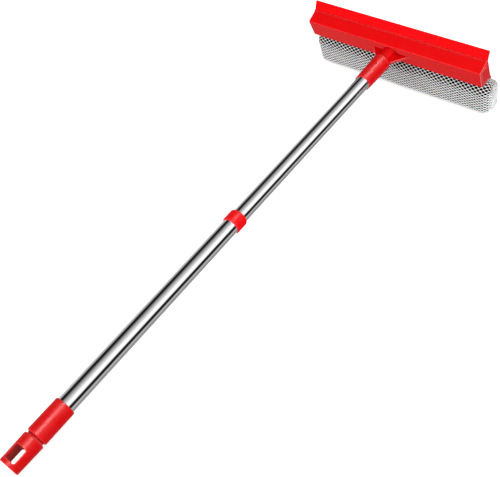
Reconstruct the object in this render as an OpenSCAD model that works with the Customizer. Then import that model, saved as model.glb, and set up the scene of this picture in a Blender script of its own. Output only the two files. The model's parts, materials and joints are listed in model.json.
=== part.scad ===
// Window cleaning squeegee with a sponge back and a two-stage telescopic pole.
// It lies at rest on the floor: the sponge and the hanger end touch it.
// Local frame before it is laid down: X along the head, Y along the pole from
// the hanger end to the head, Z from the sponge to the blade.

/* [Pole] */
// Outer diameter of the lower tube
outer_d = 22; // [21:0.5:23]
// Outer diameter of the upper tube
inner_d = 20.9; // [20.5:0.1:21]
// Wall of both tubes
tube_wall = 0.3; // [0.25:0.05:0.35]
// Length of lower tube seen between grip and collar
outer_seen = 286; // [200:1:500]
// Length of upper tube seen between collar and nut
inner_seen = 284; // [100:1:300]
// Length of upper tube left inside the lower one, lock included
overlap = 65; // [60:1:80]

/* [Handle end] */
// Length of the hanger
hanger_length = 36.5; // [34:0.5:45]
// Diameter of the hanger at its free end
hanger_end_d = 24.6; // [23:0.1:25]
// Diameter of the hanger at the neck
hanger_neck_d = 25.9; // [25:0.1:27]
// Width of the hanging slot
slot_width = 14.5; // [10:0.5:15]
// Length of the hanging slot
slot_length = 18; // [12:0.5:20]
// Turn of the hanger about the pole at rest
hanger_turn = 8; // [0:1:20]
// Gap between the hanger and the grip
neck_gap = 2.7; // [2:0.1:4]
// Length of the hand grip
grip_length = 43; // [36:1:60]
// Outer diameter of the hand grip
grip_d = 25.7; // [25:0.1:28]

/* [Collar and nut] */
// Length of the tube collar
collar_length = 17.6; // [15:0.1:25]
// Outer diameter of the tube collar
collar_d = 25.3; // [24.5:0.1:28]
// Length of the union nut
nut_length = 51.5; // [50:0.5:60]
// Diameter of the nut at its tube end
nut_small_d = 24; // [23.6:0.1:25]
// Diameter of the nut at its head end
nut_large_d = 26.2; // [25.5:0.1:28]
// Diameter of the head's stub
stub_d = 22.6; // [22:0.1:23]

/* [Head] */
// Length of the head
head_length = 281; // [276:1:290]
// Wall of the head's shells
shell_wall = 2; // [1.6:0.1:2.2]
// Lean of the blade away from the handle
blade_lean = 18; // [14:1:20]
// Height of blade that stands out of the head
blade_height = 14.3; // [8:0.1:20]
// Thickness of the blade at its root
blade_thick = 2.2; // [1.8:0.1:2.4]

/* [Sponge] */
// Length of the sponge
sponge_length = 291; // [280:1:304]
// Distance of the sponge's middle from the head's middle, to the right
sponge_shift = 5.5; // [0:0.5:6]
// Radius of the sponge's edges
sponge_round = 14; // [13:0.5:14]
// Radius of the sponge's rim at each end
end_round = 10; // [6:0.5:12]
// Thickness of the mesh net
net_thick = 0.8; // [0.5:0.1:1]

/* [Hidden] */
$fn = 96;

RED = [0.92, 0.02, 0.05];
DARK_RED = [0.75, 0.03, 0.06];
STEEL = [0.82, 0.83, 0.85];
ZINC = [0.6, 0.6, 0.62];
fit = 0.05;          // radial clearance of a running fit
play = 0.2;          // end play between pieces that turn on each other

// Places along the pole, from the hanger end
y_grip = hanger_length + neck_gap;
y_tube = y_grip + 3;
y_grip_top = y_grip + grip_length;
y_collar = y_grip_top + outer_seen;
y_collar_top = y_collar + collar_length;
collar_lip = 2.8;
y_tube_top = y_collar_top - collar_lip;
y_nut = y_collar_top + inner_seen;
y_nut_top = y_nut + nut_length;
nut_seat = 20.8;      // from the nut's head end to the upper tube's end
y_inner_top = y_nut_top - nut_seat;
tip_flange = 3.8;
y_stub = y_inner_top + tip_flange + play;
y_lock = y_collar_top - overlap;      // lower end of the lock screw's head
stub_seen = 40.2;     // from the nut to the middle of the blade where it leaves the head
y_apex = y_nut_top + stub_seen;

outer_r = outer_d / 2;
outer_bore = outer_r - tube_wall;
inner_r = inner_d / 2;
inner_bore = inner_r - tube_wall;
stub_r = stub_d / 2;
nut_bore = inner_r + fit;

// Swivel of the hanger
journal_r = 5.5;
journal_long = 18;
journal_top = y_tube + journal_long;
screw_r = 1.75;
washer_thick = 1;

// Lock inside the pole: an eccentric journal in a split ring
lock_head = 2.4;
lock_cap_thick = 3;
lock_ring_long = 15.4;
eccentric = 0.7;
eccentric_r = 6;
lock_bore = 7;
lock_screw_r = 1.5;
y_cap = y_lock + lock_head;
y_ring = y_cap + lock_cap_thick + play;
y_flange = y_ring + lock_ring_long + play;
y_inner = y_flange + 3;

// Key between the pole tip and the head
spigot_r = 8;
spigot_flat = 13.4;
spigot_long = 25;
key_gap = 0.2;
pin_r = 1.5;
pin_depth = 11;       // from the upper tube's end to the pin

// Head outline, as [along the pole, up] from the blade's root at the apex
apex_z = 22.6;
lean = [sin(blade_lean), cos(blade_lean)];
across = [cos(blade_lean), -sin(blade_lean)];
half_blade = blade_thick / 2;
front_lip = -half_blade * across - 0.5 * lean;
front_jaw = -half_blade * across - 5 * lean;
back_lip = half_blade * across + 0.5 * lean;
back_jaw = half_blade * across - 5 * lean;
ridge_back = [-16.3, -6.9];
ridge_front = [-19.5, -9.1];
front_foot = [-8.5, -39.6];
back_foot = [19.5, -42.6];
panel_long = norm(front_foot - ridge_front);
panel_dir = (front_foot - ridge_front) / panel_long;
panel_in = [-panel_dir[1], panel_dir[0]];
back_top = back_lip + 1.2 * across;
back_dir = (back_foot - back_top) / norm(back_foot - back_top);
back_in = [back_dir[1], -back_dir[0]];
ridge_inside = [ridge_front + shell_wall * panel_in + 1.6 * panel_dir, ridge_back + [1, -1.75]];
front_outline = [front_lip, ridge_back, ridge_front, front_foot,
    front_foot + shell_wall * panel_in, ridge_inside[0], ridge_inside[1], front_jaw];
back_outline = [back_lip, back_top, back_foot, back_foot + shell_wall * back_in,
    back_top + shell_wall * back_in + 8.6 * back_dir, back_jaw];
foot_r = 2;
foot_bead = back_foot + [0.5, 0.2];
lip_r = 1.1;
lip_bead = -(half_blade + lip_r) * across - 0.45 * lean;
edge_round = 0.8;

// Plates that close the head's ends, each with a round arch
plate_thick = 2.4;
plate_gap = 1.6;
plate_inset = 0.9;    // from the head's end to the middle of a plate
arch_mid = [7.6, -46.2];
arch_r = 8.5;

// Bead along the blade's root, with a rod in it
bead_z = -8;
bead_r = 2.1;
rod_r = 0.8;

// Screws that hold the two shells together
screw_x = [-108, -36, 36, 108];
screw_z = -15.5;
boss_start = -17;
boss_end = 3.6;
screw_tip = -10.5;
boss_r = 3.4;
front_skin = [front_outline[1], front_outline[2], front_outline[3], front_outline[3] - [12, 0],
    front_outline[2] - [12, 0]];
shell_screw_r = 1.2;
seat_r = 3.6;
seat_y = 6;

// Sponge outline: centres of its four rounded edges from the apex
sponge_edges = [[12.5, -84.6], [20.5, -85.3], [17, -60.5], [7, -55]];
throat_dir = (panel_dir + back_dir) / norm(panel_dir + back_dir);
throat_side = [-throat_dir[1], throat_dir[0]];
throat_mid = (front_foot + back_foot + shell_wall * (panel_in + back_in)) / 2;
throat_half = 8.6;
throat_top = 12;
throat_long = head_length - 9;

// Rest on the floor: a line under the hanger's end and the sponge's lowest edge
hanger_r = hanger_end_d / 2;
drop = [y_apex + sponge_edges[0][0], -(apex_z + sponge_edges[0][1]) - hanger_r];
lay_angle = atan2(drop[1], drop[0]) + asin((sponge_round + net_thick) / norm(drop));
floor_up = hanger_r * cos(lay_angle);
box_low = -hanger_r * sin(lay_angle);
box_high = (y_apex + sponge_edges[1][0]) * cos(lay_angle)
    - (apex_z + sponge_edges[1][1]) * sin(lay_angle) + sponge_round + net_thick;

// Lays the local frame down on the floor, with the origin under the middle of its box,
// which the sponge's ends bound across the pole
module laid() {
    translate([-sponge_shift, -(box_low + box_high) / 2, floor_up]) rotate([lay_angle, 0, 0]) children();
}

// Turned piece on the pole's axis: a profile of [radius, place along the pole]
module turned(profile) {
    rotate([-90, 0, 0]) rotate_extrude() polygon(profile);
}

// Cylinder on the pole's axis from one place to another
module rod(r, from, to) {
    translate([0, from, 0]) rotate([-90, 0, 0]) cylinder(r = r, h = to - from);
}

// Tube on the pole's axis
module tube(r, bore, from, to) {
    difference() {
        rod(r, from, to);
        rod(bore, from - 1, to + 1);
    }
}

// Bar along the head with an outline of [along the pole, up] from the apex, its corners rounded
module bar(outline, long, rounded = 0) {
    translate([0, y_apex, apex_z]) rotate([90, 0, 90]) linear_extrude(long, center = true)
        offset(r = rounded, $fn = 24) offset(delta = -rounded) polygon(outline);
}

// Round bead along the head, at a place from the apex
module bead(place, r, long) {
    translate([0, y_apex + place[0], apex_z + place[1]]) rotate([0, 90, 0])
        cylinder(r = r, h = long, center = true, $fn = 32);
}

module outer_tube() {
    color(STEEL) laid() tube(outer_r, outer_bore, y_tube, y_tube_top);
}

module hand_grip() {
    r = grip_d / 2;
    edge = 1;
    color(RED) laid() turned([[outer_bore - play, y_grip], [r - edge, y_grip], [r, y_grip + edge],
        [r, y_grip_top - edge], [r - edge / 3, y_grip_top - edge / 3], [r - edge, y_grip_top],
        [outer_r, y_grip_top], [outer_r, y_tube], [outer_bore - play, y_tube]]);
}

module end_plug() {
    neck = outer_bore - play;
    low = hanger_length + play;
    high = journal_top - play;
    bore = journal_r + fit;
    color(RED) laid() turned([[bore, low], [neck, low], [neck, y_tube], [outer_bore, y_tube],
        [outer_bore, high], [bore, high]]);
}

module hanging_slot() {
    corner = 2;
    long = slot_length / 2 - corner;
    wide = slot_width / 2 - corner;
    translate([0, 5 + slot_length / 2, -20]) linear_extrude(40) union() {
        square([2 * wide, slot_length], center = true);
        square([slot_width, 2 * long], center = true);
        for (x = [-wide, wide]) for (y = [-long, long]) translate([x, y]) circle(r = corner, $fn = 40);
    }
}

module hanger() {
    neck_r = hanger_neck_d / 2;
    edge = 0.8;
    color(RED) laid() rotate([0, hanger_turn, 0]) difference() {
        turned([[0, 0], [hanger_r - edge, 0], [hanger_r, edge], [neck_r, hanger_length - edge],
            [neck_r - edge, hanger_length], [journal_r, hanger_length], [journal_r, journal_top],
            [0, journal_top]]);
        hanging_slot();
        rod(screw_r, journal_top - 13, journal_top + 1);
    }
}

module hanger_washer() {
    color(ZINC) laid() tube(8.2, screw_r, journal_top, journal_top + washer_thick);
}

module hanger_screw() {
    head = journal_top + washer_thick;
    color(ZINC) laid() turned([[0, journal_top - 12.5], [screw_r, journal_top - 11.5], [screw_r, head],
        [3.4, head], [3.4, head + 1.4], [2.2, head + 2.4], [0, head + 2.4]]);
}

module tube_collar() {
    r = collar_d / 2;
    chamfer = 2;
    color(RED) laid() turned([[outer_r, y_collar], [r - 0.5, y_collar], [r, y_collar + 0.5],
        [r, y_collar_top - chamfer], [r - 0.6, y_collar_top - chamfer / 3],
        [r - 1.2, y_collar_top], [nut_bore, y_collar_top], [nut_bore, y_tube_top],
        [outer_r, y_tube_top]]);
}

module tip_pin_hole(r) {
    translate([0, y_inner_top - pin_depth, 0]) rotate([0, 90, 0]) cylinder(r = r, h = 30, center = true, $fn = 32);
}

module inner_tube() {
    color(STEEL) laid() difference() {
        tube(inner_r, inner_bore, y_inner, y_inner_top);
        tip_pin_hole(pin_r);
    }
}

module lock_plug() {
    color(DARK_RED) laid() difference() {
        union() {
            rod(inner_bore, y_inner, y_inner + 20);
            rod(inner_r, y_flange, y_inner);
            translate([0, 0, eccentric]) rod(eccentric_r, y_cap + lock_cap_thick, y_flange);
        }
        rod(lock_screw_r, y_cap, y_cap + 16);
    }
}

module lock_ring() {
    slit = 3;
    color(DARK_RED) laid() difference() {
        tube(outer_bore - 0.08, lock_bore, y_ring, y_ring + lock_ring_long);
        translate([-slit / 2, y_ring - 1, 0]) cube([slit, lock_ring_long + 2, 2 * outer_r]);
    }
}

module lock_cap() {
    color(DARK_RED) laid() tube(inner_r - 0.4, lock_screw_r, y_cap, y_cap + lock_cap_thick);
}

module lock_screw() {
    color(ZINC) laid() turned([[0, y_lock], [2, y_lock], [3, y_lock + 1], [3, y_cap],
        [lock_screw_r, y_cap], [lock_screw_r, y_cap + 15], [0, y_cap + 15.5]]);
}

// Round spigot with two flats that keys the head to the pole
module key(r, flat, from, to) {
    intersection() {
        rod(r, from, to);
        translate([-flat / 2, from - 1, -r - 1]) cube([flat, to - from + 2, 2 * r + 2]);
    }
}

module pole_tip() {
    color(DARK_RED) laid() difference() {
        union() {
            rod(inner_bore, y_inner_top - 22, y_inner_top);
            rod(stub_r - 0.1, y_inner_top, y_inner_top + tip_flange);
            key(spigot_r, spigot_flat, y_inner_top + tip_flange, y_inner_top + tip_flange + spigot_long);
        }
        tip_pin_hole(pin_r);
    }
}

module tip_pin() {
    color(ZINC) laid() intersection() {
        tip_pin_hole(pin_r);
        rod(inner_r, y_inner_top - 20, y_inner_top);
    }
}

module union_nut() {
    small = nut_small_d / 2;
    large = nut_large_d / 2;
    seat = y_inner_top - play;
    color(RED) laid() turned([[nut_bore, y_nut], [small - 0.4, y_nut], [small, y_nut + 0.4],
        [large - 0.2, y_nut_top - 3.4], [large + 0.3, y_nut_top - 2.4], [large + 0.3, y_nut_top - 0.8],
        [large - 0.4, y_nut_top], [stub_r + fit, y_nut_top], [stub_r + fit, seat], [nut_bore, seat]]);
}

// Triangular web between the stub and the head, level with the pole's axis
module gusset() {
    thick = 2.6;
    translate([0, 0, -thick / 2]) linear_extrude(thick)
        polygon([[8, y_nut_top + 3.2], [11.6, y_nut_top + 3.2], [30, y_apex - 13.6], [8, y_apex - 11]]);
}

module front_shell() {
    inside = [ridge_inside[0], ridge_inside[1], front_jaw, [25, -5], [25, -50],
        front_foot + shell_wall * panel_in + 5 * panel_dir];
    color(RED) laid() difference() {
        union() {
            difference() {
                union() {
                    bar(front_outline, head_length, edge_round);
                    bead(lip_bead, lip_r, head_length);
                    rod(stub_r, y_stub, y_apex);
                    gusset();
                    mirror([1, 0, 0]) gusset();
                }
                bar(inside, head_length + 2);
            }
            for (x = screw_x) boss(x);
        }
        key(spigot_r + fit, spigot_flat + key_gap, y_stub - 1, y_stub + spigot_long + 2);
        for (x = screw_x) screw_hole(x, shell_screw_r, screw_tip - 0.5, seat_y);
    }
}

// Cylinder across the head on a shell screw's axis, from the apex
module screw_hole(x, r, from, to) {
    translate([x, y_apex + from, apex_z + screw_z]) rotate([-90, 0, 0]) cylinder(r = r, h = to - from, $fn = 32);
}

module boss(x) {
    difference() {
        screw_hole(x, boss_r, boss_start, boss_end);
        translate([0, shell_wall / 2, 0]) bar(front_skin, head_length);
    }
}

// End plate of the head, with an arch where the sponge comes out
module end_plate(x) {
    front = shell_wall + plate_gap;
    outline = [front_jaw + [0.3, -plate_gap], ridge_inside[1] + [0.4, -plate_gap],
        ridge_inside[0] + plate_gap * [1, -0.3],
        front_foot + front * panel_in + 1.5 * panel_dir, back_foot + back_in,
        back_top + back_in + 4 * back_dir, back_jaw];
    translate([x, 0, 0]) difference() {
        bar(outline, plate_thick);
        translate([0, y_apex + arch_mid[0], apex_z + arch_mid[1]]) rotate([0, 90, 0])
            cylinder(r = arch_r, h = 2 * plate_thick, center = true);
        blade_slot(2 * plate_thick);
    }
}

module back_shell() {
    color(DARK_RED) laid() difference() {
        union() {
            bar(back_outline, head_length - 1, edge_round);
            bead(foot_bead, foot_r, head_length - 1);
            for (side = [-1, 1]) end_plate(side * (head_length / 2 - plate_inset));
            for (x = screw_x) screw_hole(x, seat_r + 1, boss_end + play, seat_y + 2);
        }
        for (x = screw_x) {
            screw_hole(x, shell_screw_r + 0.2, 0, seat_y + 1);
            screw_hole(x, seat_r, seat_y, 14);
        }
    }
}

module shell_screws() {
    color(ZINC) laid() for (x = screw_x) {
        screw_hole(x, shell_screw_r, screw_tip, seat_y);
        screw_hole(x, seat_r - 0.5, seat_y, seat_y + 1.8);
    }
}

// Room for the blade and its bead, with a little play
module blade_slot(long) {
    translate([0, y_apex, apex_z]) rotate([-blade_lean, 0, 0]) rotate([90, 0, 90])
        linear_extrude(long, center = true) union() {
            translate([-half_blade - play, bead_z]) square([blade_thick + 2 * play, 12]);
            translate([0, bead_z]) circle(r = bead_r + play, $fn = 40);
        }
}

module squeegee_blade() {
    tip = half_blade - 0.4;
    color(RED) laid() translate([0, y_apex, apex_z]) rotate([-blade_lean, 0, 0])
        rotate([90, 0, 90]) linear_extrude(head_length, center = true) difference() {
            union() {
                polygon([[-half_blade, bead_z], [half_blade, bead_z], [half_blade, 0.5], [tip, blade_height],
                    [-tip, blade_height], [-half_blade, 0.5]]);
                translate([0, bead_z]) circle(r = bead_r, $fn = 40);
            }
            translate([0, bead_z]) circle(r = rod_r, $fn = 24);
        }
}

// Steel rod threaded through the blade's bead, which keeps the blade straight
module blade_rod() {
    color(ZINC) laid() translate([0, y_apex, apex_z]) rotate([-blade_lean, 0, 0])
        translate([0, 0, bead_z]) rotate([0, 90, 0]) cylinder(r = rod_r, h = head_length - 6, center = true, $fn = 24);
}

// Length of sponge with its edges rounded to a given radius
module slab(r, long) {
    rotate([90, 0, 90]) linear_extrude(long, center = true) offset(r = r, $fn = 64) polygon(sponge_edges);
}

// Sponge with its throat between the shells; grow offsets its surface
module pad(grow) {
    rim = end_round + grow;
    translate([0, y_apex, apex_z]) union() {
        translate([sponge_shift, 0, 0]) hull() for (turn = [0:22.5:90])
            slab(sponge_round + grow - rim * (1 - cos(turn)), sponge_length + 2 * grow - 2 * rim * (1 - sin(turn)));
        throat(throat_half + grow, throat_long + 2 * grow, throat_top);
    }
}

// Part of the sponge between the shells, midway between the two panels
module throat(half, long, rise) {
    top = throat_mid - rise * throat_dir;
    low = throat_mid + 16 * throat_dir;
    side = half * throat_side;
    rotate([90, 0, 90]) linear_extrude(long, center = true)
        polygon([top - side, top + side, low + side, low - side]);
}

module sponge() {
    color([0.16, 0.16, 0.17]) laid() pad(0);
}

module mesh_net() {
    color([0.93, 0.93, 0.93]) laid() difference() {
        pad(net_thick);
        pad(fit);
        translate([0, y_apex, apex_z]) throat(throat_half + fit, throat_long + 2 * fit, throat_top + 1);
    }
}

module sponge_bar() {
    low = throat_mid - (throat_top + play) * throat_dir;
    high = low - 2.5 * throat_dir;
    side = throat_half * throat_side;
    color(DARK_RED) laid() bar([low - side, low + side, high + side, high - side], throat_long);
}

outer_tube();
hand_grip();
end_plug();
hanger();
hanger_washer();
hanger_screw();
tube_collar();
inner_tube();
lock_plug();
lock_ring();
lock_cap();
lock_screw();
pole_tip();
tip_pin();
union_nut();
front_shell();
back_shell();
squeegee_blade();
blade_rod();
sponge();
mesh_net();
sponge_bar();
shell_screws();
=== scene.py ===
"""Window cleaning squeegee: foam, net, surface materials and a small studio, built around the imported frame."""

import json
import math

import bmesh
import bpy
import numpy as np
from mathutils import Matrix, Vector


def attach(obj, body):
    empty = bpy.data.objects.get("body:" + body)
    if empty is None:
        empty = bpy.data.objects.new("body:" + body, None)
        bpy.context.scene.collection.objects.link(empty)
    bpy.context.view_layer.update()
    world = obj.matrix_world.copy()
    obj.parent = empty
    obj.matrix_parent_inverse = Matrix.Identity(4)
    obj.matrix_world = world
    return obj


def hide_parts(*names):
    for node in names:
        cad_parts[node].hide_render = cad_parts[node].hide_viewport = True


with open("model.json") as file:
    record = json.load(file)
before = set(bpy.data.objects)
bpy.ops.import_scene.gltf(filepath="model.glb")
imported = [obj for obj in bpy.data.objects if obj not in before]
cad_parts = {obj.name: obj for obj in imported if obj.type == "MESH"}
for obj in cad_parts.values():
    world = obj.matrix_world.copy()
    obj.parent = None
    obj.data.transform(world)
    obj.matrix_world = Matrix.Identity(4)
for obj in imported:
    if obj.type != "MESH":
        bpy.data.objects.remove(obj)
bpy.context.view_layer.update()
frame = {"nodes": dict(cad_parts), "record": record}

MM = 0.001
RECORD = frame["record"]
POLE = Vector(next(j for j in RECORD["behaviour"]["joints"] if j["name"] == "pole_extend")["axis"])
END = Vector(next(m for m in RECORD["mounts"] if m["name"] == "end_face")["pos_m"])
LAY = math.atan2(POLE.z, POLE.y)
TURN = Matrix.Rotation(LAY, 3, "X")

EDGE_LIGHT_REACH = 0.0019    # how far the lighter edge, a painted highlight with rubbing wear, reaches, in metres
GAP_SHADE_REACH = 0.004      # how wide a gap still counts as tight and gets painted shade, in metres
SOFT_EDGE = 0.0006     # radius that softens a moulded edge's shine, in metres


def row(x, y, z):
    """A point of the tool's own axes, in millimetres from the hanger's end, as a point of the row frame."""
    return END + TURN @ Vector((x, y, z)) * MM


def rows(points):
    """The same for an array of points."""
    return np.array(END) + (points * MM) @ np.array(TURN).T


# ---------------------------------------------------------------- materials

class Paint:
    """A Principled material with a few shorthands for its procedural detail."""

    def __init__(self, name, base, roughness, **sockets):
        self.mat = bpy.data.materials.new(name)
        self.mat.use_nodes = True
        self.tree = self.mat.node_tree
        self.bsdf = self.tree.nodes["Principled BSDF"]
        self.set(self.bsdf, **{"Base Color": (*base, 1), "Roughness": roughness}, **sockets)
        self.coords = self.tree.nodes.new("ShaderNodeTexCoord").outputs["Object"]

    def set(self, node, **values):
        for key, value in values.items():
            node.inputs[key.replace("_", " ")].default_value = value

    def node(self, kind, **values):
        made = self.tree.nodes.new("ShaderNode" + kind)
        for key, value in values.items():
            if key.replace("_", " ") in made.inputs:
                made.inputs[key.replace("_", " ")].default_value = value
            else:
                setattr(made, key, value)
        return made

    def link(self, a, b):
        self.tree.links.new(a, b)

    def stretched(self, along, across):
        """Coordinates in metres, turned so that Y follows the pole, and scaled apart along and across it."""
        turned = self.node("Mapping", vector_type="TEXTURE")
        turned.inputs["Rotation"].default_value = (LAY, 0, 0)
        self.link(self.coords, turned.inputs["Vector"])
        scaled = self.node("Mapping", vector_type="POINT")
        scaled.inputs["Scale"].default_value = (across, along, across)
        self.link(turned.outputs[0], scaled.inputs["Vector"])
        return scaled.outputs[0]

    def noise(self, scale, detail=3.0, rough=0.5, coords=None):
        made = self.node("TexNoise", Scale=scale, Detail=detail, Roughness=rough)
        self.link(coords or self.coords, made.inputs["Vector"])
        return made.outputs["Fac"]

    def cells(self, scale):
        made = self.node("TexVoronoi", Scale=scale)
        self.link(self.coords, made.inputs["Vector"])
        return made.outputs["Distance"]

    def ramp(self, value, low, high, start=0.0, end=1.0):
        """A value between low and high, from a factor between start and end."""
        made = self.node("MapRange", clamp=True)
        for socket, number in zip(("From Min", "From Max", "To Min", "To Max"), (start, end, low, high)):
            made.inputs[socket].default_value = number
        self.link(value, made.inputs["Value"])
        return made.outputs[0]

    def blend(self, factor, one, two):
        """A colour between two, by a factor from 0 to 1."""
        made = self.node("Mix", data_type="RGBA")
        self.link(factor, made.inputs["Factor"])
        # Inputs 6 and 7 and output 2 are the node's colours; the same names stand for its numbers too
        for socket, value in ((made.inputs[6], one), (made.inputs[7], two)):
            if isinstance(value, tuple):
                socket.default_value = (*value, 1)
            else:
                self.link(value, socket)
        return made.outputs[2]

    def colour(self, socket):
        self.link(socket, self.bsdf.inputs["Base Color"])

    def rough(self, socket):
        self.link(socket, self.bsdf.inputs["Roughness"])

    def edges(self, radius):
        """How near an outer edge of the piece is, from 0 to 1, within a radius in metres: where the rounded normal
        leaves the flat one, and the piece itself closes nothing in, as it does in an inner corner."""
        near = self.node("Bevel", samples=12, Radius=radius)
        flat = self.node("NewGeometry")
        same = self.node("VectorMath", operation="DOT_PRODUCT")
        self.link(near.outputs[0], same.inputs[0])
        self.link(flat.outputs["Normal"], same.inputs[1])
        outer = self.node("AmbientOcclusion", samples=16, only_local=True, Distance=radius)
        both = self.node("Math", operation="MULTIPLY")
        self.link(self.ramp(same.outputs["Value"], 1, 0, 0.9, 0.99), both.inputs[0])
        self.link(self.ramp(outer.outputs["AO"], 0, 1, 0.7, 0.9), both.inputs[1])
        return both.outputs[0]

    def gap_shade_mask(self, reach):
        """How open the surface is, from 0 in a tight gap to 1, looking a distance in metres around: the mask of the
        painted shade in gaps.
        """
        made = self.node("AmbientOcclusion", samples=16, Distance=reach)
        return self.ramp(made.outputs["AO"], 0, 1, 0.1, 0.45)

    def bump(self, layers, soften=0.0):
        """Bump from (height, distance in metres, strength) layers, on edges softened by a radius in metres."""
        normal = None
        if soften:
            made = self.node("Bevel", samples=6, Radius=soften)
            normal = made.outputs[0]
        for height, distance, strength in layers:
            made = self.node("Bump", Distance=distance, Strength=strength)
            self.link(height, made.inputs["Height"])
            if normal:
                self.link(normal, made.inputs["Normal"])
            normal = made.outputs[0]
        self.link(normal, self.bsdf.inputs["Normal"])
        return self


def shade(colour, k):
    return tuple(min(1, c * k) for c in colour)


def moulded(name, base, roughness, worn_and_highlit, gloss=0.12, grain=1.0, gap=0.25):
    """Injection-moulded plastic: slow flow marks in its colour and gloss, a fine grain, outer edges painted lighter as
    a painted highlight with light rubbing wear, and tight gaps painted darker by a factor as painted shade."""
    p = Paint(name, base, roughness, **{"Specular IOR Level": gloss})
    flow = p.noise(14, 4, 0.6, p.stretched(0.5, 1.4))
    body = p.blend(p.ramp(flow, 0, 1, 0.3, 0.7), shade(base, 0.97), shade(base, 1.02))
    # Outer edges painted lighter: a painted highlight along the edges, with light rubbing wear
    body = p.blend(p.edges(EDGE_LIGHT_REACH), body, worn_and_highlit)
    # Tight gaps painted darker by the factor gap: painted shade where the pieces close the light out
    p.colour(p.blend(p.gap_shade_mask(GAP_SHADE_REACH), shade(base, gap), body))
    p.rough(p.ramp(p.noise(90, 4), roughness * 0.8, roughness * 1.25, 0.3, 0.7))
    return p.bump([(p.noise(2600, 3), 0.00002, 0.15 * grain)], SOFT_EDGE)


def metal(name, base, roughness, along, across, depth):
    """Metal with the fine lines of its drawing or turning."""
    p = Paint(name, base, roughness, Metallic=1.0)
    lines = p.noise(1, 5, 0.65, p.stretched(along, across))
    p.rough(p.ramp(lines, roughness * 0.7, roughness * 1.5, 0.3, 0.7))
    p.colour(p.blend(p.ramp(p.noise(55, 3), 0, 1, 0.35, 0.7), shade(base, 0.95), base))
    return p.bump([(lines, depth, 0.3)], 0.0001)


RED = (0.69, 0.0003, 0.0016)
# The next colour, and the fourth argument of each plastic below, is painted on outer edges: a painted highlight with
# rubbing wear
WORN_AND_HIGHLIT = (0.95, 0.15, 0.15)
red_plastic = moulded("red_plastic", RED, 0.24, WORN_AND_HIGHLIT)
# The gap argument sets how dark the painted shade in tight gaps is
turned_plastic = moulded("turned_plastic", (0.62, 0.0003, 0.0016), 0.36, (0.9, 0.05, 0.05), 0.14, 0.5, gap=0.9)
collar_plastic = moulded("collar_plastic", (0.78, 0.0006, 0.0024), 0.4, (0.95, 0.06, 0.06), 0.07, 0.5, gap=0.9)
deep_plastic = moulded("deep_plastic", (0.6, 0.001, 0.004), 0.34, WORN_AND_HIGHLIT, grain=1.6)
lock_plastic = moulded("lock_plastic", (0.36, 0.004, 0.008), 0.5, (0.5, 0.03, 0.04), grain=2.0)
chrome = metal("chrome", (0.95, 0.95, 0.955), 0.035, 6, 900, 0.000006)
zinc = metal("zinc", (0.62, 0.62, 0.64), 0.3, 300, 900, 0.00001)

rubber = Paint("red_rubber", (0.85, 0.001, 0.006), 0.3, **{"Specular IOR Level": 0.08})
wipe = rubber.noise(1, 4, 0.6, rubber.stretched(160, 22))
rubber.colour(rubber.blend(rubber.ramp(wipe, 0, 1, 0.35, 0.7), (0.76, 0.0004, 0.002), (0.82, 0.0006, 0.003)))
rubber.rough(rubber.ramp(rubber.noise(60, 4), 0.24, 0.42, 0.3, 0.7))
rubber.bump([(wipe, 0.00012, 0.2), (rubber.noise(3200, 2), 0.00003, 0.4)], 0.0003)

foam = Paint("foam", (0.006, 0.006, 0.007), 0.95, **{"Specular IOR Level": 0.1})
pores = foam.cells(900)
foam.colour(foam.blend(foam.ramp(pores, 1, 0, 0.1, 0.6), (0.001, 0.001, 0.0012), (0.006, 0.006, 0.007)))
foam.bump([(pores, 0.0007, 0.9), (foam.noise(260, 3), 0.0006, 0.5)])

net = Paint("net", (0.93, 0.93, 0.93), 0.55)
net.set(net.bsdf, **{"Sheen Weight": 0.25, "Subsurface Weight": 0.15, "Subsurface Scale": 0.001})
strands = net.noise(1, 3, 0.6, net.stretched(5200, 1700))
net.colour(net.blend(net.ramp(strands, 0, 1, 0.3, 0.7), (0.84, 0.84, 0.845), (0.97, 0.97, 0.97)))
net.bump([(strands, 0.00016, 0.7)])

NODE_PAINT = {
    "outer_tube": chrome, "inner_tube": chrome,
    "hand_grip": turned_plastic, "end_plug": deep_plastic, "hanger": turned_plastic, "tube_collar": collar_plastic,
    "union_nut": turned_plastic, "front_shell": red_plastic, "back_shell": deep_plastic, "squeegee_blade": rubber,
    "lock_plug": lock_plastic, "lock_ring": lock_plastic, "lock_cap": lock_plastic, "pole_tip": lock_plastic,
    "sponge_bar": lock_plastic,
    "hanger_washer": zinc, "hanger_screw": zinc, "lock_screw": zinc, "tip_pin": zinc, "blade_rod": zinc,
    "shell_screws": zinc,
}
for name, paint in NODE_PAINT.items():
    mesh = frame["nodes"][name].data
    mesh.materials.clear()
    mesh.materials.append(paint.mat)
for name in ("front_shell", "union_nut", "squeegee_blade"):
    frame["nodes"][name].visible_glossy = False    # keeps the head's red out of the chrome


# ---------------------------------------------------------------- sponge and net

# All in mm, and the same as in the CAD source
HEAD_Y, HEAD_Z = 761.5, 22.6    # the head's origin in the tool's own axes
EDGES = np.array([(12.5, -84.6), (20.5, -85.3), (17.0, -60.5), (7.0, -55.0)])    # corners of the section's core
SHIFT = 5.5          # how far the sponge sits to the right of the head's middle
ROUND = 13.95        # from the core to the foam's face
RIM = 10.0           # rounding of the end's rim
HALF = 145.5         # half the foam's length
CAP = 17.0           # way over the end from its rim to its middle
STRAIGHT = HALF - RIM
CORNER = RIM * math.pi / 2
REACH = STRAIGHT + CORNER + CAP

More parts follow.
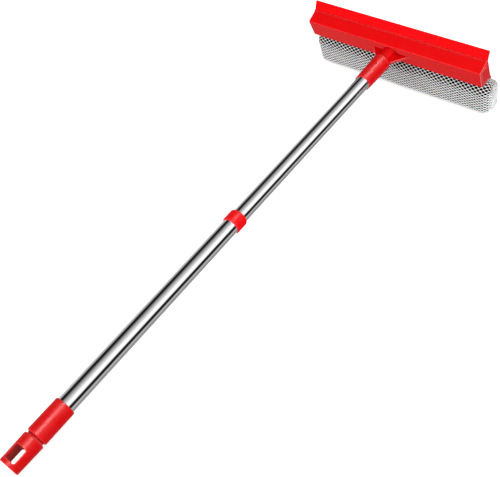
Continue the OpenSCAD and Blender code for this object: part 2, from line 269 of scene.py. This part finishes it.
FOAM_STOP = 0.4      # how far the foam's last ring, the net's last points and its last knots stay from the end's middle
NET_STOP = 0.6
KNOT_STOP = 1.5
ROWS_ROUND = 60
CELLS_LONG = 44
PITCH = 2 * (REACH - KNOT_STOP) / CELLS_LONG
BULGE = 1.2          # how far the end swells at its middle
SLACK = 0.35         # how far the skin wanders in and out
SWELL = 0.22         # how far the foam swells into each mesh of the net
SINK = 0.15          # how far the foam lies back from that skin
ROOT = -0.25         # height of the net's root, which is sunk into the foam
MERGE = 0.004        # points of the net closer than this are one

THREAD = 1.12        # width of the thread at the sponge's foot, as a share of the widths in net_cells()
THREAD_TAUT = 0.47   # how much less that is where the net is drawn up to the shells
THREAD_CAP = 2.9     # its width in the middle of the ends, where the net is gathered
GATHER = 0.6         # share of the way over the rim at which the gathering starts


def outline(u):
    """Centre and outward normal of the sponge's section at a share u of its way round."""
    nxt = np.roll(EDGES, -1, axis=0)
    sides = nxt - EDGES
    long = np.linalg.norm(sides, axis=1)
    normals = np.stack([sides[:, 1], -sides[:, 0]], 1) / long[:, None]
    middle = EDGES.mean(0)
    if ((EDGES + nxt) / 2 - middle)[0] @ normals[0] < 0:
        normals = -normals
    angle = np.arctan2(normals[:, 1], normals[:, 0])
    turn = (np.roll(angle, -1) - angle + math.pi) % (2 * math.pi) - math.pi
    stops = np.cumsum(np.column_stack([long, np.abs(turn) * ROUND]).ravel())
    way = (u % 1.0) * stops[-1]
    piece = np.searchsorted(stops, way, side="right").clip(0, len(stops) - 1)
    start = np.concatenate([[0], stops])[piece]
    share = (way - start) / np.diff(np.concatenate([[0], stops]))[piece]
    side = piece // 2
    bend = piece % 2 == 1
    centre = np.where(bend[:, None], nxt[side], EDGES[side] + share[:, None] * sides[side])
    a = angle[side] + np.where(bend, share * turn[side], 0)
    return centre, np.stack([np.cos(a), np.sin(a)], 1)


def skin(u, v, h):
    """Points on the sponge: u is the share of the way round, v the way along in mm from its middle over the rim to
    each cap, and h the height over the foam in mm."""
    u, v, h = (np.asarray(a, float).ravel() for a in np.broadcast_arrays(u, v, h))
    centre, normal = outline(u)
    far = np.abs(v)
    t = ((far - STRAIGHT) / CORNER).clip(0, 1) * math.pi / 2
    r = ROUND + h * np.cos(t) - RIM * (1 - np.cos(t))
    x = np.where(far < STRAIGHT, far, STRAIGHT + (RIM + h) * np.sin(t))
    shrink = (1 - (far - STRAIGHT - CORNER) / CAP).clip(0, 1)
    middle = EDGES.mean(0)
    section = middle + (centre + normal * r[:, None] - middle) * shrink[:, None]
    x = x + np.where(far > STRAIGHT + CORNER, BULGE * (1 - shrink**2), 0)
    # The slack runs in shallow waves, two or three round the sponge and a few along it
    slack = SLACK * np.sin(v * 0.071 + 3 * np.sin(u * 12.57)) * np.sin(u * 18.85 + v * 0.033) * shrink
    section = section + normal * slack[:, None]
    return rows(np.column_stack([SHIFT + np.sign(v) * x, HEAD_Y + section[:, 0], HEAD_Z + section[:, 1]]))


def build(name, points, faces, paint, body):
    """A mesh object in the row frame that rides on a body."""
    mesh = bpy.data.meshes.new(name)
    mesh.from_pydata([tuple(p) for p in points], [], faces)
    mesh.validate()
    obj = bpy.data.objects.new(name, mesh)
    bpy.context.scene.collection.objects.link(obj)
    mesh.materials.append(paint.mat)
    mesh.shade_smooth()
    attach(obj, body)
    return obj


def foam_body():
    """The foam, which swells a little through each mesh of the net."""
    around, along = ROWS_ROUND * 2, CELLS_LONG * 4
    u = np.arange(around) / around
    v = np.linspace(-REACH + FOAM_STOP, REACH - FOAM_STOP, along + 1)
    uu, vv = np.meshgrid(u, v)
    swell = SWELL * np.cos(uu * ROWS_ROUND * math.pi) * np.cos(vv * 2 * math.pi / PITCH)
    points = skin(uu, vv, swell - SINK)
    faces = []
    for j in range(along):
        for i in range(around):
            k = (i + 1) % around
            faces.append((j * around + i, j * around + k, (j + 1) * around + k, (j + 1) * around + i))
    faces.append(tuple(range(around)))
    faces.append(tuple(along * around + i for i in reversed(range(around))))
    return build("sponge_foam", points, faces, foam, "head")


def net_cells():
    """The net: a lattice of diamond meshes, each with a round-edged rim of thread, joined into one closed mesh. The
    thread is thinner where the net is drawn up towards the shells, and thicker where it is gathered on the ends."""
    corner = np.array([(1, 0), (0.5, 0.5), (0, 1), (-0.5, 0.5), (-1, 0), (-0.5, -0.5), (0, -1), (0.5, -0.5)])
    sides = len(corner)
    tips = np.arange(sides) % 2 == 0
    shrinks = ((1.0, None), (0.91, 0.74), (0.81, 0.56), (0.77, ROOT))    # share of the mesh, height over the foam
    knots = np.where(tips, 0.8, 0.62)           # height of the thread at the knots and between them
    rounder = np.where(tips, 0.86, 1.18) - 1    # rounds the diamond by its tips and sides
    centres, normals = outline(np.arange(ROWS_ROUND) / ROWS_ROUND)
    up = centres[:, 1] + ROUND * normals[:, 1]
    taut = ((up - up.min()) / np.ptp(up)) ** 1.5
    us, vs, hs, faces = [], [], [], []
    count = 0
    for j in range(ROWS_ROUND):
        for i in range(CELLS_LONG + j % 2):
            mid_u = j / ROWS_ROUND
            mid_v = (i + 0.5 - 0.5 * (j % 2) - CELLS_LONG / 2) * PITCH
            cap = min(1, max(0, (abs(mid_v) - STRAIGHT - CORNER * GATHER) / (CAP + (1 - GATHER) * CORNER)))
            thick = (THREAD - THREAD_TAUT * taut[j]) * (1 - cap) + THREAD_CAP * cap
            for scale, height in shrinks:
                if height is None:
                    at, high = corner, knots
                else:
                    k = 1 - (1 - scale) * thick
                    at = corner * (k * (1 + rounder * (1 - scale) * 2))[:, None]
                    high = np.full(sides, height)
                us.append(mid_u + at[:, 0] / ROWS_ROUND)
                vs.append(mid_v + at[:, 1] * PITCH / 2)
                hs.append(high)
            us.append(mid_u + corner[:, 0] / ROWS_ROUND)
            vs.append(mid_v + corner[:, 1] * PITCH / 2)
            hs.append(np.full(sides, ROOT))
            for ring in range(len(shrinks)):
                for a in range(sides):
                    b = (a + 1) % sides
                    p, q = count + ring * sides, count + (ring + 1) * sides
                    faces.append((p + a, p + b, q + b, q + a))
            count += sides * (len(shrinks) + 1)
    v = np.concatenate(vs).clip(-REACH + NET_STOP, REACH - NET_STOP)
    points = skin(np.concatenate(us), v, np.concatenate(hs))
    obj = build("net_mesh", points, faces, net, "head")
    shape = bmesh.new()
    shape.from_mesh(obj.data)
    bmesh.ops.remove_doubles(shape, verts=shape.verts, dist=MERGE * MM)
    bmesh.ops.holes_fill(shape, edges=[e for e in shape.edges if e.is_boundary], sides=0)
    bmesh.ops.recalc_face_normals(shape, faces=shape.faces)
    shape.to_mesh(obj.data)
    shape.free()
    return obj


sponge = foam_body()
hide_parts("sponge")
netting = net_cells()
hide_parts("mesh_net")


# ---------------------------------------------------------------- studio

def direction(x, y, z):
    return TURN @ Vector((x, y, z))


EYE = (448.5, 0.6, 668.8)           # mm, in the tool's own axes
AHEAD = (-0.479, 0.420, -0.771)     # the way the camera looks, and its right hand
RIGHT = (0.781, 0.605, -0.156)
LENS, SENSOR = 51.55, 36            # mm
GROUND_HALF = 15                    # metres from the middle of the ground to its edges


def camera():
    data = bpy.data.cameras.new("camera")
    data.sensor_width = SENSOR
    data.lens = LENS
    data.clip_start = 0.01
    data.clip_end = 50
    obj = bpy.data.objects.new("camera", data)
    bpy.context.scene.collection.objects.link(obj)
    ahead = direction(*AHEAD).normalized()
    right = direction(*RIGHT)
    right = (right - ahead * right.dot(ahead)).normalized()
    up = right.cross(ahead)
    obj.matrix_world = Matrix.Translation(row(*EYE)) @ Matrix(
        ((right.x, up.x, -ahead.x), (right.y, up.y, -ahead.y), (right.z, up.z, -ahead.z))).to_4x4()
    bpy.context.scene.camera = obj


def ground(name, height, colour, glow=0.0):
    """A wide level sheet at a height in metres."""
    half = GROUND_HALF
    mesh = bpy.data.meshes.new(name)
    mesh.from_pydata([(half, -half, height), (half, half, height), (-half, half, height), (-half, -half, height)], [],
                     [(0, 1, 2, 3)])
    mesh.materials.append(plain(name, colour, glow))
    obj = bpy.data.objects.new(name, mesh)
    bpy.context.scene.collection.objects.link(obj)
    return obj


def plain(name, colour, strength=0.0):
    """A matt material for the studio, which may glow white."""
    mat = bpy.data.materials.new(name)
    mat.use_nodes = True
    bsdf = mat.node_tree.nodes["Principled BSDF"]
    bsdf.inputs["Base Color"].default_value = (*colour, 1)
    bsdf.inputs["Roughness"].default_value = 0.9
    bsdf.inputs["Specular IOR Level"].default_value = 0.0
    if strength:
        bsdf.inputs["Emission Color"].default_value = (1, 1, 1, 1)
        bsdf.inputs["Emission Strength"].default_value = strength
    return mat


def lamp(name, place, aim, size, power):
    """A soft area lamp that is kept out of reflections, in metres and watts."""
    data = bpy.data.lights.new(name, "AREA")
    data.shape = "RECTANGLE"
    data.size, data.size_y = size
    data.energy = power
    obj = bpy.data.objects.new(name, data)
    bpy.context.scene.collection.objects.link(obj)
    obj.location = place
    obj.rotation_euler = (Vector(aim) - Vector(place)).to_track_quat("-Z", "Y").to_euler()
    obj.visible_glossy = False
    return obj


# What the glossy surfaces see round the pole: (degrees from the head's right end upwards, brightness)
BANDS = (
    (-180, 0.75), (-167, 0.65), (-124, 0.5), (-80, 0.42), (-62, 0.28), (-48, 0.12), (-36, 0.54), (-25, 0.5),
    (-13, 0.1), (-5, 0), (5, 0), (14, 0.03), (22, 0.5), (30, 1.15), (36, 1.3), (52, 1.35), (56, 1.05), (64, 0.86),
    (82, 0.57), (98, 0.37), (107, 0.24), (116, 0.11), (126, 0.01), (138, 0), (148, 0), (161, 0.32), (175, 0.45),
    (180, 0.5))
TENT_FAR, TENT_STEPS = 1.2, 96          # radius in metres, number of cards round
TENT_LOW, TENT_HIGH = -2.2, 2.6         # ends of the tent along the pole, in metres
TENT_END_GLOW = 1.5
STRIP_FAR, STRIP_LONG = 1.1, 2.4        # metres


def strip(name, degrees, width, power, nodes):
    """A long soft strip over the pole that lights the shine of some pieces only."""
    way = math.radians(degrees)
    outward = direction(math.cos(way), 0, math.sin(way))
    middle = row(0, HEAD_Y / 2, 0)
    obj = lamp(name, middle + outward * STRIP_FAR, middle, (width, STRIP_LONG), power)
    obj.rotation_euler = Matrix((direction(-math.sin(way), 0, math.cos(way)), POLE, outward)).transposed().to_euler()
    obj.visible_glossy = True
    obj.visible_diffuse = False
    lit = bpy.data.collections.new(name)
    for node in nodes:
        lit.objects.link(frame["nodes"][node])
    obj.light_linking.receiver_collection = lit


def reflections():
    """A tent of light and dark cards round the pole, seen only in the shine of the tool."""
    steps = TENT_STEPS
    angle = np.linspace(-math.pi, math.pi, steps + 1)
    ring = np.column_stack([TENT_FAR * np.cos(angle), np.zeros(steps + 1), TENT_FAR * np.sin(angle)])
    points = np.concatenate([ring + (0, TENT_LOW, 0), ring + (0, TENT_HIGH, 0)]) / MM
    faces = [(i, i + 1, steps + 2 + i, steps + 1 + i) for i in range(steps)]
    faces += [tuple(range(steps)), tuple(range(steps + 1, 2 * steps + 1))]
    mesh = bpy.data.meshes.new("cards")
    mesh.from_pydata([tuple(p) for p in rows(points)], [], faces)
    mat = bpy.data.materials.new("cards")
    mat.use_nodes = True
    tree = mat.node_tree
    tree.nodes.clear()
    light = mesh.attributes.new("light", "FLOAT", "CORNER")
    degrees, level = zip(*BANDS)
    side = np.interp(np.degrees(angle), degrees, level)
    values = [side[k] for i in range(steps) for k in (i, i + 1, i + 1, i)] + [TENT_END_GLOW] * (2 * steps)
    light.data.foreach_set("value", values)
    read = tree.nodes.new("ShaderNodeAttribute")
    read.attribute_name = "light"
    glow = tree.nodes.new("ShaderNodeEmission")
    out = tree.nodes.new("ShaderNodeOutputMaterial")
    tree.links.new(read.outputs["Fac"], glow.inputs["Strength"])
    tree.links.new(glow.outputs[0], out.inputs["Surface"])
    mat.cycles.emission_sampling = "FRONT_BACK"
    mesh.materials.append(mat)
    obj = bpy.data.objects.new("cards", mesh)
    bpy.context.scene.collection.objects.link(obj)
    obj.visible_camera = obj.visible_diffuse = obj.visible_shadow = obj.visible_transmission = False


SKY, SKY_SEEN = 0.72, 1.0                # the sky's strength as a light, and as the camera's background
FLOOR_LEVEL, TABLE_LEVEL = -0.0002, -0.0004    # metres, just under the tool


def studio():
    world = bpy.data.worlds.new("studio")
    world.use_nodes = True
    sky = world.node_tree.nodes["Background"]
    sky.inputs["Color"].default_value = (1, 1, 1, 1)
    seen = world.node_tree.nodes.new("ShaderNodeLightPath")
    strength = world.node_tree.nodes.new("ShaderNodeMapRange")
    strength.inputs["To Min"].default_value = SKY
    strength.inputs["To Max"].default_value = SKY_SEEN
    world.node_tree.links.new(seen.outputs["Is Camera Ray"], strength.inputs["Value"])
    world.node_tree.links.new(strength.outputs[0], sky.inputs["Strength"])
    bpy.context.scene.world = world
    bpy.context.scene.view_settings.view_transform = "Standard"
    # The camera sees one floor, and the tool is lit by a darker one just under it
    floor = ground("floor", FLOOR_LEVEL, (0.97, 0.97, 0.97), glow=0.55)
    floor.visible_diffuse = floor.visible_glossy = False
    table = ground("table", TABLE_LEVEL, (0.62, 0.62, 0.62))
    table.visible_camera = table.visible_glossy = False
    lamp("front", place=(-0.1, -3.2, 0.9), aim=(0, 0.35, 0.05), size=(2.4, 1.6), power=92)
    lamp("right", place=(1.7, 0.5, 0.7), aim=(0, 0.3, 0.05), size=(1.0, 1.0), power=17)
    strip("strip", degrees=78, width=0.34, power=75, nodes=("hand_grip", "hanger", "tube_collar", "union_nut"))
    reflections()


camera()
studio()
